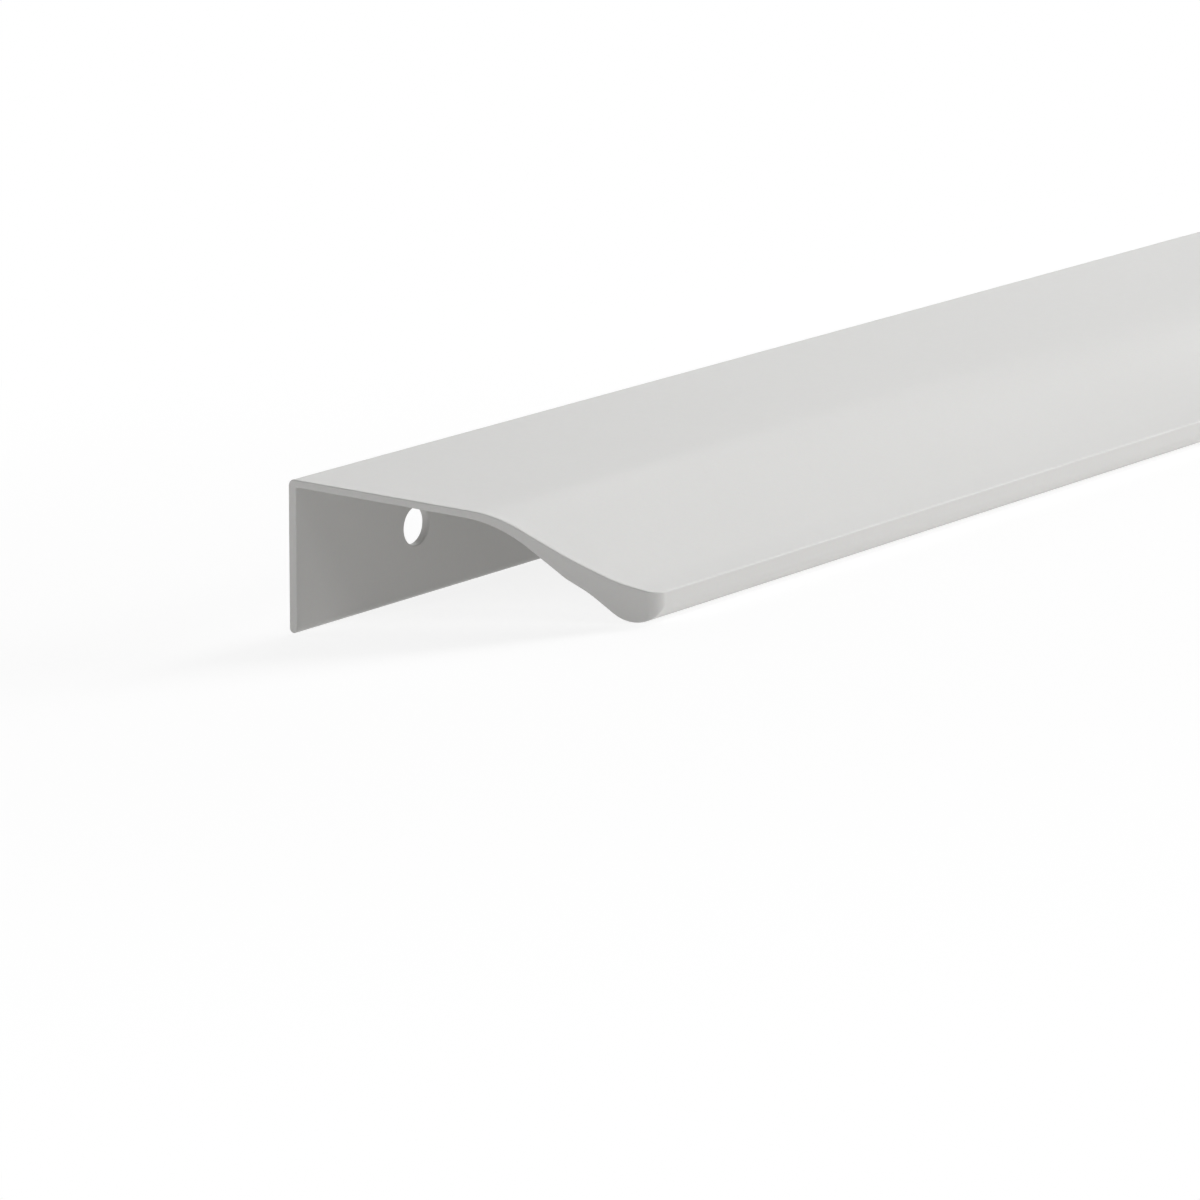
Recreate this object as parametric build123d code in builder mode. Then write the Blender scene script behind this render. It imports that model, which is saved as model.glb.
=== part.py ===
from build123d import *
from math import acos, asin, atan2, cos, degrees, hypot, pi, sin, sqrt, tan
import os

os.makedirs("parts", exist_ok=True)

# Edge pull cut from one length of extruded aluminium. Millimetres, +Z up, the length along Y.
# The section is drawn in its own directions: u runs from the outer face of the leg to the front
# of the lip, v runs up from the flat top, so every point below the top has a negative v.
length = 200.0
profile_width = 47.6
leg_height = 16.45
leg_thickness = 1.0
plate_thickness = 0.82
outer_corner_radius = 0.75
root_radius = 0.2

# Top of the wave: three corners, each measured back from the front of the lip and rounded. The
# middle one lies a little below the straight line between the other two, so the slope eases
# towards the lip, and the lip itself falls a little to its front edge.
top_crest_setback = 20.4
top_crest_radius = 18.1
top_slope_setback = 10.75
top_slope_sag = 0.35
top_slope_radius = 62.0
top_hollow_setback = 4.7
top_hollow_radius = 19.2
lip_fall = 0.34
lip_drop = 5.08
lip_edge_radius = 0.18

# Underside of the wave: a rounded crest, a knee, a shallow waist and a bulb that hangs below the
# lip and rounds into its front face with a smaller radius.
under_crest_setback = 20.1
under_crest_radius = 18.5
knee_setback = 11.5
knee_depth = 5.26
knee_radius = 6.2
waist_setback = 8.56
waist_depth = 6.3
waist_radius = 14.5
bulb_setback = 3.25
bulb_depth = 8.47
bulb_radius = 4.85
nose_radius = 1.6

# The front corners of the lip, seen from above, are rounded where the stock was cut to length.
end_corner_radius = 1.4

# Screw holes through the leg.
screw_hole_radius = 2.1
screw_spacing = 160.0
screw_drop = 8.6

# Section points.
tip_radius = leg_thickness / 2
tip_centre = (tip_radius, tip_radius - leg_height)
leg_foot_outer = (0, tip_radius - leg_height)
leg_foot_inner = (leg_thickness, tip_radius - leg_height)
outer_corner = (0, 0)
root_corner = (leg_thickness, -plate_thickness)
top_crest = (profile_width - top_crest_setback, 0)
top_hollow = (profile_width - top_hollow_setback, lip_fall - lip_drop)
slope_share = (top_crest_setback - top_slope_setback) / (top_crest_setback - top_hollow_setback)
top_slope = (profile_width - top_slope_setback, top_hollow[1] * slope_share - top_slope_sag)
lip_edge = (profile_width, -lip_drop)
under_crest = (profile_width - under_crest_setback, -plate_thickness)
knee = (profile_width - knee_setback, -knee_depth)
waist = (profile_width - waist_setback, -waist_depth)
bulb_centre = (profile_width - bulb_setback, bulb_radius - bulb_depth)

# The bulb is met by the front face at one end and by a tangent line from the waist at the other.
front_angle = -acos(bulb_setback / bulb_radius)
front_foot = (profile_width, bulb_centre[1] + bulb_radius * sin(front_angle))
reach_u = bulb_centre[0] - waist[0]
reach_v = bulb_centre[1] - waist[1]
reach = hypot(reach_u, reach_v)
run_angle = atan2(reach_v, reach_u) - asin(bulb_radius / reach)
run_length = sqrt(reach ** 2 - bulb_radius ** 2)
run_end = (waist[0] + run_length * cos(run_angle), waist[1] + run_length * sin(run_angle))
bulb_sweep = front_angle + pi / 2 - run_angle

# Unheld on a floor the pull rests on the tip of the leg and on the bulb, so its top slopes down
# towards the lip. The slope is that of the line that touches both round undersides.
span_u = bulb_centre[0] - tip_centre[0]
span_v = bulb_centre[1] - tip_centre[1]
rest_tilt = atan2(span_v, span_u) - asin((bulb_radius - tip_radius) / hypot(span_u, span_v))
tilt_cos = cos(rest_tilt)
tilt_sin = sin(rest_tilt)

# The origin is on the floor, midway between the two ends and between the back and the front.
lip_angle = atan2(lip_fall, top_hollow_setback)
edge_rise = lip_edge_radius * (tan(lip_angle) - 1 / cos(lip_angle))
edge_centre = (profile_width - lip_edge_radius, edge_rise - lip_drop)
back_limit = tip_centre[0] * tilt_cos + tip_centre[1] * tilt_sin - tip_radius
front_limit = edge_centre[0] * tilt_cos + edge_centre[1] * tilt_sin + lip_edge_radius
rest_x = -(back_limit + front_limit) / 2
rest_z = tip_centre[0] * tilt_sin - tip_centre[1] * tilt_cos + tip_radius
across = (tilt_cos, 0, -tilt_sin)
upward = (tilt_sin, 0, tilt_cos)
section_plane = Plane(origin=(rest_x, 0, rest_z), x_dir=across, z_dir=(0, -1, 0))
plan_plane = Plane(origin=(rest_x, 0, rest_z), x_dir=across, z_dir=upward)
screw_centre = section_plane.from_local_coords((0, -screw_drop, 0))
leg_plane = Plane(origin=screw_centre, x_dir=(0, 1, 0), z_dir=(-tilt_cos, 0, tilt_sin))

# Profile with its corners cut away and its screw holes.
cut_overrun = 2.0
with BuildPart() as pull_profile:
    with BuildSketch(section_plane) as section:
        with BuildLine():
            Polyline(leg_foot_outer, outer_corner, top_crest, top_slope, top_hollow, lip_edge, front_foot)
            CenterArc(bulb_centre, bulb_radius, degrees(front_angle), -degrees(bulb_sweep))
            Polyline(run_end, waist, knee, under_crest, root_corner, leg_foot_inner)
            CenterArc(tip_centre, tip_radius, 0, -180)
        make_face()
        fillet(section.vertices().sort_by_distance(outer_corner)[0], radius=outer_corner_radius)
        fillet(section.vertices().sort_by_distance(top_crest)[0], radius=top_crest_radius)
        fillet(section.vertices().sort_by_distance(top_slope)[0], radius=top_slope_radius)
        fillet(section.vertices().sort_by_distance(top_hollow)[0], radius=top_hollow_radius)
        fillet(section.vertices().sort_by_distance(lip_edge)[0], radius=lip_edge_radius)
        fillet(section.vertices().sort_by_distance(front_foot)[0], radius=nose_radius)
        fillet(section.vertices().sort_by_distance(waist)[0], radius=waist_radius)
        fillet(section.vertices().sort_by_distance(knee)[0], radius=knee_radius)
        fillet(section.vertices().sort_by_distance(under_crest)[0], radius=under_crest_radius)
        fillet(section.vertices().sort_by_distance(root_corner)[0], radius=root_radius)
    extrude(amount=length / 2, both=True)

    with BuildSketch(plan_plane) as corner_waste:
        corner_u = profile_width - end_corner_radius
        corner_y = length / 2 - end_corner_radius
        waste_side = end_corner_radius + cut_overrun
        with Locations((corner_u, corner_y)):
            Rectangle(waste_side, waste_side, align=(Align.MIN, Align.MIN))
        with Locations((corner_u, -corner_y)):
            Rectangle(waste_side, waste_side, align=(Align.MIN, Align.MAX))
        with Locations((corner_u, corner_y), (corner_u, -corner_y)):
            Circle(end_corner_radius, mode=Mode.SUBTRACT)
    extrude(amount=-bulb_depth - cut_overrun, mode=Mode.SUBTRACT)

    with BuildSketch(leg_plane) as screw_holes:
        with Locations((-screw_spacing / 2, 0), (screw_spacing / 2, 0)):
            Circle(screw_hole_radius)
    extrude(amount=leg_thickness + cut_overrun, both=True, mode=Mode.SUBTRACT)

pull_profile.part.label = "pull_profile"
export_step(pull_profile.part, "parts/pull_profile.step")
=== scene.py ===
from math import acos, asin, atan2, cos, hypot, pi, radians, sin, sqrt, tan

import bpy
from mathutils import Matrix, Vector


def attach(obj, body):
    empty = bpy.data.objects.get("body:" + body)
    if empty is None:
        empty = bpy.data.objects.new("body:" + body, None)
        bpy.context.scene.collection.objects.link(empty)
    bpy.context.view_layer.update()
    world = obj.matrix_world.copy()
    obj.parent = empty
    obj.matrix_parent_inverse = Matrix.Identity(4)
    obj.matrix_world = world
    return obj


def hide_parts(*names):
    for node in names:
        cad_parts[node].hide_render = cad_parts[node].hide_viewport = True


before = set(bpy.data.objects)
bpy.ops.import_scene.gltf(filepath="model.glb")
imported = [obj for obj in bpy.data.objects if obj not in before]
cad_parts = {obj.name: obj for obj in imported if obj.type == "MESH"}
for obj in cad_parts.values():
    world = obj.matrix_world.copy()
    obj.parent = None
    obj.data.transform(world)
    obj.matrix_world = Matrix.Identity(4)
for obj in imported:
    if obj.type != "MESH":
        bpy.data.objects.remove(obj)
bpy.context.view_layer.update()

# The section's sizes, in millimetres, as in the CAD source.
length = 200.0
profile_width = 47.6
leg_height = 16.45
leg_thickness = 1.0
plate_thickness = 0.82
outer_corner_radius = 0.75
root_radius = 0.2
top_crest_setback = 20.4
top_crest_radius = 18.1
top_slope_setback = 10.75
top_slope_sag = 0.35
top_slope_radius = 62.0
top_hollow_setback = 4.7
top_hollow_radius = 19.2
lip_fall = 0.34
lip_drop = 5.08
lip_edge_radius = 0.18
under_crest_setback = 20.1
under_crest_radius = 18.5
knee_setback = 11.5
knee_depth = 5.26
knee_radius = 6.2
waist_setback = 8.56
waist_depth = 6.3
waist_radius = 14.5
bulb_setback = 3.25
bulb_depth = 8.47
bulb_radius = 4.85
nose_radius = 1.6
end_corner_radius = 1.4
screw_hole_radius = 2.1
screw_spacing = 160.0
screw_drop = 8.6

# The coat rounds every sawn edge by this radius, in millimetres. Round the front corners of the lip the
# rounding fades out towards the front face, the more sharply the higher the power.
edge_round = 0.16
edge_fade_power = 6

# Steps of the mesh round a sawn edge, round a front corner of the lip and round a screw hole. Each hole
# has its own patch of the leg, which reaches this many millimetres to both sides of it.
edge_steps = 4
column_steps = 12
hole_steps = 48
patch_half = 7.0

# Degrees between the mesh points along the arcs of the section.
outer_corner_step = 7.5
wave_step = 1.2
bulb_step = 3.0
root_step = 15.0
tip_step = 9.0

# The coat map is a square, in millimetres: the long sides laid out flat along its foot, and above them
# the two end faces and the walls of the two screw holes.
map_side = 203
map_margin = 1
end_face_rise = 20
end_face_shift = 55
hole_wall_rise = 5
hole_wall_left = 120
hole_wall_shift = 20
hole_wall_width = 13.2

# Section points: u across from the outer face of the leg, v up from the flat top.
tip_radius = leg_thickness / 2
tip = (tip_radius, tip_radius - leg_height)
bulb = (profile_width - bulb_setback, bulb_radius - bulb_depth)
lip_angle = atan2(lip_fall, top_hollow_setback)
edge = (profile_width - lip_edge_radius, lip_edge_radius * (tan(lip_angle) - 1 / cos(lip_angle)) - lip_drop)
nose = (profile_width - nose_radius,
        bulb[1] - sqrt((bulb_radius - nose_radius) ** 2 - (bulb_setback - nose_radius) ** 2))
nose_angle = atan2(nose[1] - bulb[1], nose[0] - bulb[0])
knee = (profile_width - knee_setback, -knee_depth)
waist = (profile_width - waist_setback, -waist_depth)
reach = hypot(bulb[0] - waist[0], bulb[1] - waist[1])
run_angle = atan2(bulb[1] - waist[1], bulb[0] - waist[0]) - asin(bulb_radius / reach)
run_length = sqrt(reach ** 2 - bulb_radius ** 2)
run_end = (waist[0] + run_length * cos(run_angle), waist[1] + run_length * sin(run_angle))
outer_corner = (0, 0)
top_crest = (profile_width - top_crest_setback, 0.0)
top_hollow = (profile_width - top_hollow_setback, lip_fall - lip_drop)
slope_share = (top_crest_setback - top_slope_setback) / (top_crest_setback - top_hollow_setback)
top_slope = (profile_width - top_slope_setback, top_hollow[1] * slope_share - top_slope_sag)
lip_corner = (profile_width, -lip_drop)
under_crest = (profile_width - under_crest_setback, -plate_thickness)
root = (leg_thickness, -plate_thickness)
corner_u = profile_width - end_corner_radius
corner_angle = -acos((corner_u - bulb[0]) / bulb_radius)

# The pull lies on the tip of its leg and on its bulb, midway over the origin.
rest_tilt = (atan2(bulb[1] - tip[1], bulb[0] - tip[0])
             - asin((bulb_radius - tip_radius) / hypot(bulb[0] - tip[0], bulb[1] - tip[1])))
tilt_cos = cos(rest_tilt)
tilt_sin = sin(rest_tilt)
back_limit = tip[0] * tilt_cos + tip[1] * tilt_sin - tip_radius
front_limit = edge[0] * tilt_cos + edge[1] * tilt_sin + lip_edge_radius
rest_x = -(back_limit + front_limit) / 2
rest_z = tip[0] * tilt_sin - tip[1] * tilt_cos + tip_radius


def turned(u, y, v):
    """A direction of the section as a direction of the frame."""
    return Vector((u * tilt_cos + v * tilt_sin, y, -u * tilt_sin + v * tilt_cos))


def placed(u, y, v):
    """A point of the section, in millimetres, as a point of the frame, in metres."""
    return (turned(u, y, v) + Vector((rest_x, 0, rest_z))) / 1000


def arc(centre, radius, start, end, step):
    """Points and outward normals along an arc of a clockwise outline."""
    count = max(2, round(abs(end - start) / radians(step)))
    sign = 1 if end < start else -1
    points = []
    for i in range(count + 1):
        a = start + (end - start) * i / count
        u = centre[0] + radius * cos(a)
        v = centre[1] + radius * sin(a)
        points.append((u, v, sign * cos(a), sign * sin(a)))
    return points


def corner(before, at, after, radius, step):
    """The arc that rounds a corner between two straight runs."""
    into = Vector((at[0] - before[0], at[1] - before[1])).normalized()
    away = Vector((after[0] - at[0], after[1] - at[1])).normalized()
    bend = atan2(into.x * away.y - into.y * away.x, into.dot(away))
    side = 1 if bend > 0 else -1
    back = radius * tan(abs(bend) / 2)
    centre = (at[0] - into.x * back - side * into.y * radius, at[1] - into.y * back + side * into.x * radius)
    start = atan2(-side * into.x, side * into.y)
    return arc(centre, radius, start, start + bend, step)


def top_at(u):
    """Height and normal of the lip's upper side near its front."""
    if u <= edge[0] + lip_edge_radius * sin(lip_angle):
        return (profile_width - u) * tan(lip_angle) - lip_drop, sin(lip_angle), cos(lip_angle)
    du = min(u - edge[0], lip_edge_radius)
    dv = sqrt(lip_edge_radius ** 2 - du ** 2)
    return edge[1] + dv, du / lip_edge_radius, dv / lip_edge_radius


def low_at(u):
    """Height and normal of the lip's underside near its front, on the bulb or on the nose before it."""
    centre, radius = (bulb, bulb_radius)
    if u > bulb[0] + bulb_radius * cos(nose_angle):
        centre, radius = (nose, nose_radius)
    du = min(u - centre[0], radius)
    dv = sqrt(radius ** 2 - du ** 2)
    return centre[1] - dv, du / radius, -dv / radius


# Outline, clockwise from the outer foot of the leg: u, v and the normal there. The columns are where it
# crosses the round front corners of the lip, the same on the upper side as on the underside.
columns = [corner_u + end_corner_radius * sin(pi / 2 * k / column_steps) for k in range(column_steps + 1)]
outline = [(0.0, tip[1], -1.0, 0.0)]
outline += corner((0, tip[1]), outer_corner, top_crest, outer_corner_radius, outer_corner_step)
outline += corner(outer_corner, top_crest, top_slope, top_crest_radius, wave_step)
outline += corner(top_crest, top_slope, top_hollow, top_slope_radius, wave_step)
outline += corner(top_slope, top_hollow, lip_corner, top_hollow_radius, wave_step)
first_top = len(outline)
outline += [(u, *top_at(u)) for u in columns]
first_low = len(outline)
outline += [(u, *low_at(u)) for u in reversed(columns)]
last_low = len(outline) - 1
outline += arc(bulb, bulb_radius, corner_angle, run_angle - pi / 2, bulb_step)[1:]
outline += corner(run_end, waist, knee, waist_radius, wave_step)
outline += corner(waist, knee, under_crest, knee_radius, wave_step)
outline += corner(knee, under_crest, root, under_crest_radius, wave_step)
outline += corner(under_crest, root, (leg_thickness, tip[1]), root_radius, root_step)
inner_leg = len(outline) - 1
outline += arc(tip, tip_radius, 0, -pi, tip_step)[:-1]
count = len(outline)
run = [0.0]
for here, after in zip(outline, outline[1:] + outline[:1]):
    run.append(run[-1] + hypot(after[0] - here[0], after[1] - here[1]))

verts = []
normals = []
faces = []
face_spots = []


def add(u, y, v, normal):
    """A point of the mesh and its normal, both given in the section's directions."""
    verts.append(placed(u, y, v))
    normals.append(turned(*normal).normalized())
    return len(verts) - 1


def face(corners, where):
    """A face, without the corners that fall together, and where each corner lies on the coat map."""
    kept = [k for k in range(len(corners)) if corners[k] != corners[k - 1]]
    if len(kept) > 2:
        faces.append([corners[k] for k in kept])
        face_spots.append([where[k] for k in kept])


def end_ring(end, turned_by):
    """The outline at one step of the rounding between the long sides (0) and an end face (90 degrees)."""
    out = sin(turned_by)
    over = cos(turned_by)
    ring = []
    for i, (u, v, nu, nv) in enumerate(outline):
        side = top_at if i < first_low else low_at
        past = max(0.0, (u - corner_u) / end_corner_radius)
        r = edge_round * (1 - past ** edge_fade_power)
        u1 = u - nu * r * (1 - over)
        v1 = v - nv * r * (1 - over)
        theta = asin(min(1.0, max(0.0, (u1 - corner_u) / end_corner_radius)))
        left = end_corner_radius - r * (1 - out)
        u2 = corner_u + left * sin(theta) if theta else u1
        v2 = v1 + side(u2)[0] - side(u1)[0] if theta else v1
        y = length / 2 - end_corner_radius + left * cos(theta)
        normal = (nu * over + sin(theta) * out, end * cos(theta) * out, nv * over)
        if u == profile_width:
            normal = (1.0, 0.0, 0.0)
        ring.append((u2, end * y, v2, normal))
    return ring


# Loops of the outline from the near end to the far end: the rounding of each end, and the borders of the
# patches round the screw holes. The two front corner lines of an end are shared by all its rings.
turns = [pi / 2 * j / edge_steps for j in range(edge_steps + 1)]
far_rings = [[add(*point) for point in end_ring(1, a)] for a in turns]
near_rings = [[add(*point) for point in end_ring(-1, a)] for a in turns]
for ring_set in (far_rings, near_rings):
    for ring in ring_set:
        for i in (first_low - 1, first_low):
            ring[i] = ring_set[0][i]
stations = []
for hole_y in (-screw_spacing / 2, screw_spacing / 2):
    for y in (hole_y - patch_half, hole_y + patch_half):
        stations.append([add(u, y, v, (nu, 0.0, nv)) for u, v, nu, nv in outline])
loops = near_rings[::-1] + stations + far_rings
along = [0.0]
for here, after in zip(loops, loops[1:]):
    along.append(along[-1] + (verts[after[0]] - verts[here[0]]).length * 1000)

# Long sides, with room left for the two screw holes.
hole_spans = (edge_steps + 1, edge_steps + 3)
for k in range(len(loops) - 1):
    for i in range(count):
        n = (i + 1) % count
        if k in hole_spans and i in (0, inner_leg):
            continue
        face((loops[k][i], loops[k][n], loops[k + 1][n], loops[k + 1][i]),
             ((along[k], run[i]), (along[k], run[i + 1]), (along[k + 1], run[i + 1]), (along[k + 1], run[i])))

# End faces: one flat face each, and strips round the corner of the lip.
for way, ring, shift in ((-1, loops[0], 0), (1, loops[-1], end_face_shift)):
    end_spots = [(shift + u, run[-1] + end_face_rise + v) for u, v, nu, nv in outline]
    caps = [[i for i in range(count) if not first_top < i < last_low]]
    caps += [[first_top + k, first_top + k + 1, last_low - k - 1, last_low - k] for k in range(column_steps)]
    for cap in caps:
        face([ring[i] for i in cap[::way]], [end_spots[i] for i in cap[::way]])

# Screw holes: a rim rounded by the coat on each side of the leg, and the wall between them. Each ring has
# its radius, its depth into the leg, and its normal along the depth and along the radius.
rim_radius = screw_hole_radius + edge_round
outer_rim = []
for a in turns:
    r = screw_hole_radius + edge_round * (1 - sin(a))
    outer_rim.append((r, edge_round * (1 - cos(a)), -cos(a), -sin(a)))
inner_rim = [(r, leg_thickness - u, -nu, nr) for r, u, nu, nr in reversed(outer_rim)]
wall = outer_rim + inner_rim
hole_turns = [2 * pi * q / hole_steps for q in range(hole_steps)]


def hole_rings(hole_y):
    """The rings of points through one screw hole, from the outer rim to the inner one."""
    rings = []
    for r, u, nu, nr in wall:
        ring = []
        for a in hole_turns:
            normal = (nu, nr * cos(a), nr * sin(a))
            ring.append(add(u, hole_y + r * cos(a), r * sin(a) - screw_drop, normal))
        rings.append(ring)
    return rings


def hole_wall(rings, left):
    """The faces between the rings of one screw hole, laid out flat on the coat map."""
    low = run[-1] + hole_wall_rise
    for b in range(len(rings) - 1):
        high = low + hypot(wall[b + 1][0] - wall[b][0], wall[b + 1][1] - wall[b][1])
        for q in range(hole_steps):
            n = (q + 1) % hole_steps
            x0 = left + hole_wall_width * q / hole_steps
            x1 = x0 + hole_wall_width / hole_steps
            face((rings[b][q], rings[b + 1][q], rings[b + 1][n], rings[b][n]),
                 ((x0, low), (x0, high), (x1, high), (x1, low)))
        low = high


def leg_patch(k, high, low, rim, way):
    """The patch of one side of the leg round a hole: triangles from its four corners to the rim."""
    middle = (along[k] + along[k + 1]) / 2
    slope = (run[high] - run[low]) / (outline[high][1] - outline[low][1])
    spots = {
        loops[k + 1][high]: (along[k + 1], run[high]),
        loops[k][high]: (along[k], run[high]),
        loops[k][low]: (along[k], run[low]),
        loops[k + 1][low]: (along[k + 1], run[low]),
    }
    patch = list(spots)
    for q, a in enumerate(hole_turns):
        rise = rim_radius * sin(a) - screw_drop - outline[low][1]
        spots[rim[q]] = (middle + rim_radius * cos(a), run[low] + slope * rise)
    quarter = hole_steps // 4
    for c in range(4):
        for q in range(c * quarter, (c + 1) * quarter):
            tri = [patch[c], rim[(q + 1) % hole_steps], rim[q]]
            face(tri[::way], [spots[t] for t in tri[::way]])
        tri = [patch[c], patch[(c + 1) % 4], rim[(c + 1) * quarter % hole_steps]]
        face(tri[::way], [spots[t] for t in tri[::way]])


for number, k in enumerate(hole_spans):
    rings = hole_rings((-1, 1)[number] * screw_spacing / 2)
    hole_wall(rings, hole_wall_left + hole_wall_shift * number)
    leg_patch(k, 1, 0, rings[0], -1)
    leg_patch(k, inner_leg, inner_leg + 1, rings[-1], 1)

# The points that no face uses are left out of the mesh.
used = sorted({i for corners in faces for i in corners})
number_of = {old: new for new, old in enumerate(used)}
mesh = bpy.data.meshes.new("edge_pull")
mesh.from_pydata([verts[i] for i in used], [], [[number_of[i] for i in corners] for corners in faces])
coat_map = mesh.uv_layers.new(name="OFBake")
flat_spots = [spot for spots in face_spots for spot in spots]
for item, (across, up) in zip(coat_map.data, flat_spots):
    item.uv = ((across + map_margin) / map_side, (up + map_margin) / map_side)
for polygon in mesh.polygons:
    polygon.use_smooth = True
mesh.normals_split_custom_set_from_vertices([normals[i] for i in used])
pull = bpy.data.objects.new("edge_pull", mesh)
bpy.context.scene.collection.objects.link(pull)
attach(pull, "root")
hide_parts("pull_profile")

# Sockets of a node that mixes two colours.
mix_share = 0
mix_first = 6
mix_second = 7
mix_result = 2


def node(tree, kind, **values):
    """A node with its inputs and settings given by name."""
    made = tree.nodes.new(kind)
    for name, value in values.items():
        if name in made.inputs:
            made.inputs[name].default_value = value
        else:
            setattr(made, name, value)
    return made


def wired(tree, *links):
    for out, into in links:
        tree.links.new(out, into)


def looked_at(tree):
    """A value that is 1 on the rays that see a surface, straight or by reflection or through glass."""
    light_path = node(tree, "ShaderNodeLightPath")
    seen = node(tree, "ShaderNodeMath", operation="MAXIMUM")
    shown = node(tree, "ShaderNodeMath", operation="MAXIMUM")
    wired(tree,
          (light_path.outputs["Is Camera Ray"], seen.inputs[0]),
          (light_path.outputs["Is Glossy Ray"], seen.inputs[1]),
          (seen.outputs[0], shown.inputs[0]),
          (light_path.outputs["Is Transmission Ray"], shown.inputs[1]))
    return shown.outputs[0]


def powder_coat():
    """Matt powder coat: a fine orange peel, and a faint drift of tone and of shine from place to place."""
    coat = bpy.data.materials.new("powder_coat")
    coat.use_nodes = True
    tree = coat.node_tree
    shader = tree.nodes["Principled BSDF"]
    shader.inputs["Specular IOR Level"].default_value = 0.5
    shader.inputs["IOR"].default_value = 1.5
    place = node(tree, "ShaderNodeTexCoord")
    drift = node(tree, "ShaderNodeTexNoise", Scale=22, Detail=3)
    grain = node(tree, "ShaderNodeTexNoise", Scale=2600, Detail=2)
    peel = node(tree, "ShaderNodeTexNoise", Scale=750, Detail=2, Roughness=0.45)
    for texture in (drift, grain, peel):
        wired(tree, (place.outputs["Object"], texture.inputs["Vector"]))
    tone = node(tree, "ShaderNodeMix", data_type="RGBA")
    tone.inputs[mix_first].default_value = (0.641, 0.638, 0.623, 1)
    tone.inputs[mix_second].default_value = (0.672, 0.669, 0.655, 1)
    speck = node(tree, "ShaderNodeMix", data_type="RGBA", blend_type="MULTIPLY")
    speck.inputs[mix_share].default_value = 0.05
    shine = node(tree, "ShaderNodeMapRange")
    shine.inputs["To Min"].default_value = 0.44
    shine.inputs["To Max"].default_value = 0.52
    fine = node(tree, "ShaderNodeBump", Strength=0.10, Distance=0.00002)
    wavy = node(tree, "ShaderNodeBump", Strength=0.25, Distance=0.00003)
    wired(tree,
          (drift.outputs["Fac"], tone.inputs[mix_share]),
          (tone.outputs[mix_result], speck.inputs[mix_first]),
          (grain.outputs["Color"], speck.inputs[mix_second]),
          (speck.outputs[mix_result], shader.inputs["Base Color"]),
          (peel.outputs["Fac"], shine.inputs["Value"]),
          (shine.outputs["Result"], shader.inputs["Roughness"]),
          (grain.outputs["Fac"], fine.inputs["Height"]),
          (fine.outputs["Normal"], wavy.inputs["Normal"]),
          (peel.outputs["Fac"], wavy.inputs["Height"]),
          (wavy.outputs["Normal"], shader.inputs["Normal"]))
    return coat


def pale_ground():
    """Floor: white to the camera and in reflections, with the pull's soft shadow near it."""
    ground = bpy.data.materials.new("floor")
    ground.use_nodes = True
    tree = ground.node_tree
    tree.nodes.clear()
    out = node(tree, "ShaderNodeOutputMaterial")
    shown = looked_at(tree)

    # What lights the pull from below: the lamps' light off a pale table, and a faint even glow.
    bounce = node(tree, "ShaderNodeBsdfDiffuse", Color=(0.80, 0.79, 0.79, 1))
    glow = node(tree, "ShaderNodeEmission", Color=(1, 1, 1, 1), Strength=0.24)
    table = node(tree, "ShaderNodeAddShader")

    # What is seen: paper that keeps the shadow near the pull, lifted almost to white, and white beyond.
    paper = node(tree, "ShaderNodeBsdfDiffuse", Color=(0.9, 0.9, 0.9, 1))
    lifted = node(tree, "ShaderNodeEmission", Color=(1, 1, 1, 1), Strength=1.16)
    soft = node(tree, "ShaderNodeMixShader", Fac=0.30)
    white = node(tree, "ShaderNodeEmission", Color=(1, 1, 1, 1), Strength=1.0)
    place = node(tree, "ShaderNodeNewGeometry")
    distance = node(tree, "ShaderNodeVectorMath", operation="LENGTH")
    ramp = node(tree, "ShaderNodeMapRange", interpolation_type="SMOOTHSTEP")
    ramp.inputs["From Min"].default_value = 0.14
    ramp.inputs["From Max"].default_value = 0.32
    fade = node(tree, "ShaderNodeMixShader")
    final = node(tree, "ShaderNodeMixShader")
    wired(tree,
          (bounce.outputs[0], table.inputs[0]),
          (glow.outputs[0], table.inputs[1]),
          (lifted.outputs[0], soft.inputs[1]),
          (paper.outputs[0], soft.inputs[2]),
          (place.outputs["Position"], distance.inputs[0]),
          (distance.outputs["Value"], ramp.inputs["Value"]),
          (ramp.outputs["Result"], fade.inputs["Fac"]),
          (soft.outputs[0], fade.inputs[1]),
          (white.outputs[0], fade.inputs[2]),
          (shown, final.inputs["Fac"]),
          (table.outputs[0], final.inputs[1]),
          (fade.outputs[0], final.inputs[2]),
          (final.outputs[0], out.inputs["Surface"]))
    return ground


def white_room():
    """World: white where it is seen, and no light of its own otherwise."""
    world = bpy.data.worlds.new("room")
    world.use_nodes = True
    tree = world.node_tree
    tree.nodes.clear()
    out = node(tree, "ShaderNodeOutputWorld")
    room = node(tree, "ShaderNodeBackground", Color=(1, 1, 1, 1), Strength=0.0)
    white = node(tree, "ShaderNodeBackground", Color=(1, 1, 1, 1), Strength=1.0)
    final = node(tree, "ShaderNodeMixShader")
    wired(tree,
          (looked_at(tree), final.inputs["Fac"]),
          (room.outputs[0], final.inputs[1]),
          (white.outputs[0], final.inputs[2]),
          (final.outputs[0], out.inputs["Surface"]))
    return world


# Sides and distance of the lamps from the pull, in metres, and the point that they are aimed at.
lamp_side = 0.5
lamp_distance = 1.25
lamp_aim = Vector((0, 0, 0.01))


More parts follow.
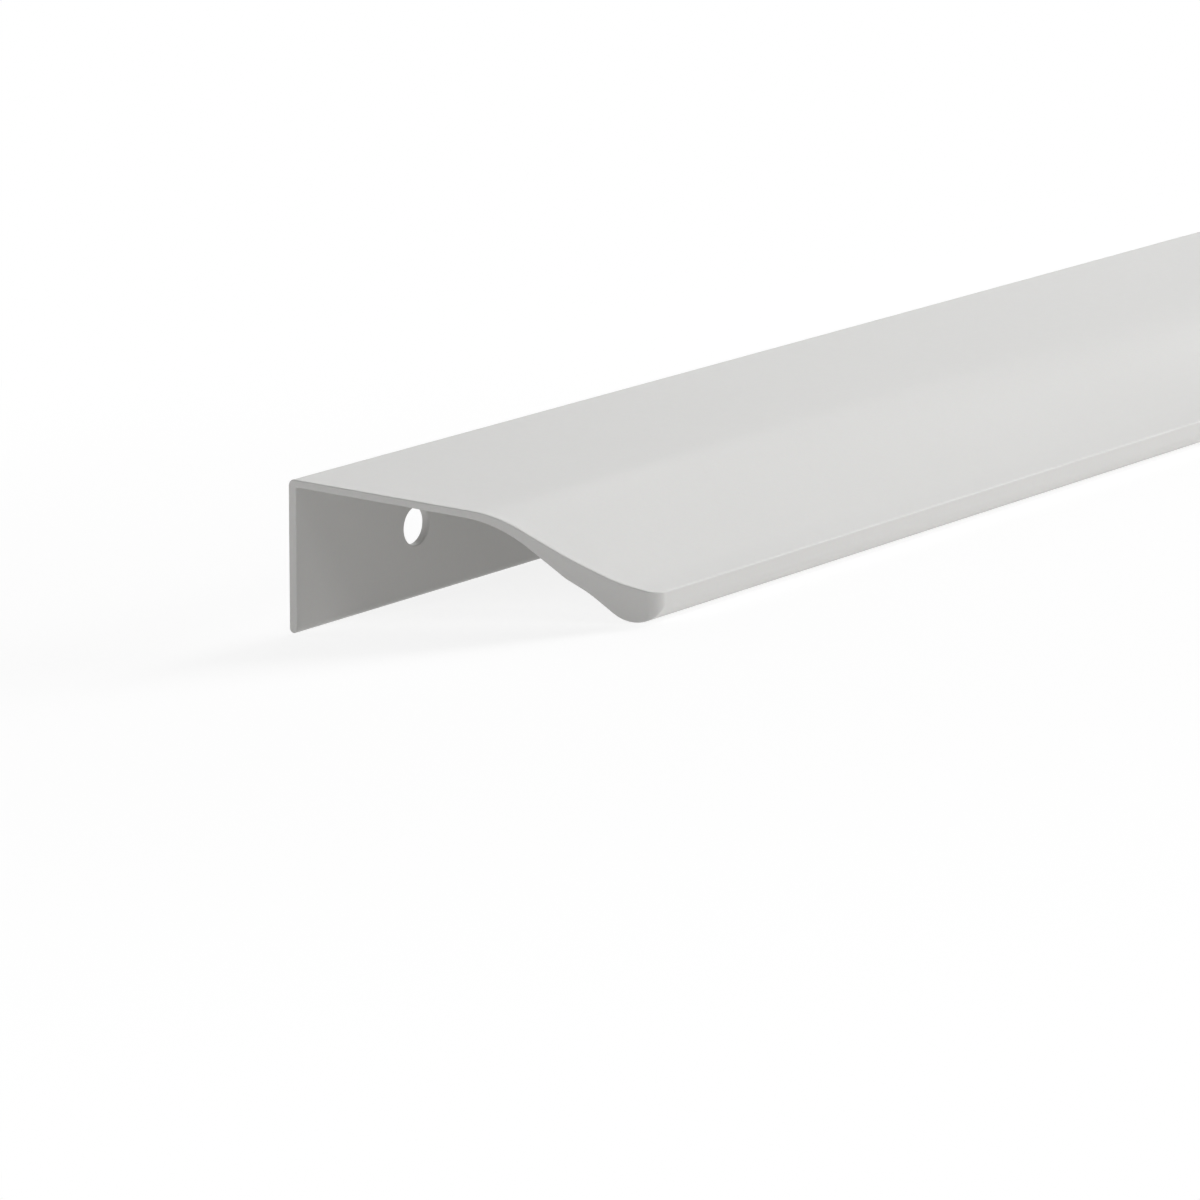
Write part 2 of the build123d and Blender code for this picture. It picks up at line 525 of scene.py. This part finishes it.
def softbox(name, turn, height, watts):
    """A square lamp aimed at the pull. Its turn is from the far end towards the lip, in degrees."""
    lamp = bpy.data.lights.new(name, "AREA")
    lamp.shape = "SQUARE"
    lamp.size = lamp_side
    lamp.energy = watts
    made = bpy.data.objects.new(name, lamp)
    level = cos(radians(height))
    away = Vector((sin(radians(turn)) * level, cos(radians(turn)) * level, sin(radians(height))))
    made.location = lamp_aim + away * lamp_distance
    made.rotation_euler = away.to_track_quat("Z", "Y").to_euler()
    bpy.context.scene.collection.objects.link(made)


def photo_camera():
    """Camera at the photograph's place: its angles and its place are in the section's directions."""
    camera = bpy.data.cameras.new("camera")
    camera.sensor_fit = "HORIZONTAL"
    camera.sensor_width = 36
    camera.lens = 182.98
    camera.clip_start = 0.01
    camera.clip_end = 50
    azimuth = radians(36.962)
    rise = radians(13.972)
    roll = radians(0.233)
    near_end = -length / 2
    eye = placed(396.24, near_end - 472.74, 140.45)
    level = turned(cos(azimuth), sin(azimuth), 0)
    back = turned(sin(azimuth) * cos(rise), -cos(azimuth) * cos(rise), sin(rise))
    upright = back.cross(level)
    right = level * cos(roll) + upright * sin(roll)
    up = upright * cos(roll) - level * sin(roll)
    viewer = bpy.data.objects.new("camera", camera)
    viewer.matrix_world = Matrix((
        (right.x, up.x, back.x, eye.x),
        (right.y, up.y, back.y, eye.y),
        (right.z, up.z, back.z, eye.z),
        (0, 0, 0, 1),
    ))
    bpy.context.scene.collection.objects.link(viewer)
    return viewer


mesh.materials.append(powder_coat())

# The floor lies a tenth of a millimetre under the pull, so that the two don't share a face.
bpy.ops.mesh.primitive_circle_add(vertices=64, radius=12, fill_type="NGON", location=(0, 0, -0.0001))
floor = bpy.context.object
floor.name = "floor"
floor.data.materials.append(pale_ground())
bpy.context.scene.world = white_room()

softbox("far_right_low", 40, 12, 4.8)
softbox("lip_side_low", 65, 12, 5.1)
softbox("lip_side_high", 140, 50, 2.5)
softbox("near_end", 180, 30, 2.7)
softbox("far_end_right", 15, 38, 5.1)
softbox("far_end_left", -20, 38, 1.2)
softbox("leg_side_high", -35, 38, 1.4)
softbox("leg_side_low", -75, 12, 4.3)

bpy.context.scene.camera = photo_camera()
bpy.context.scene.view_settings.view_transform = "Standard"
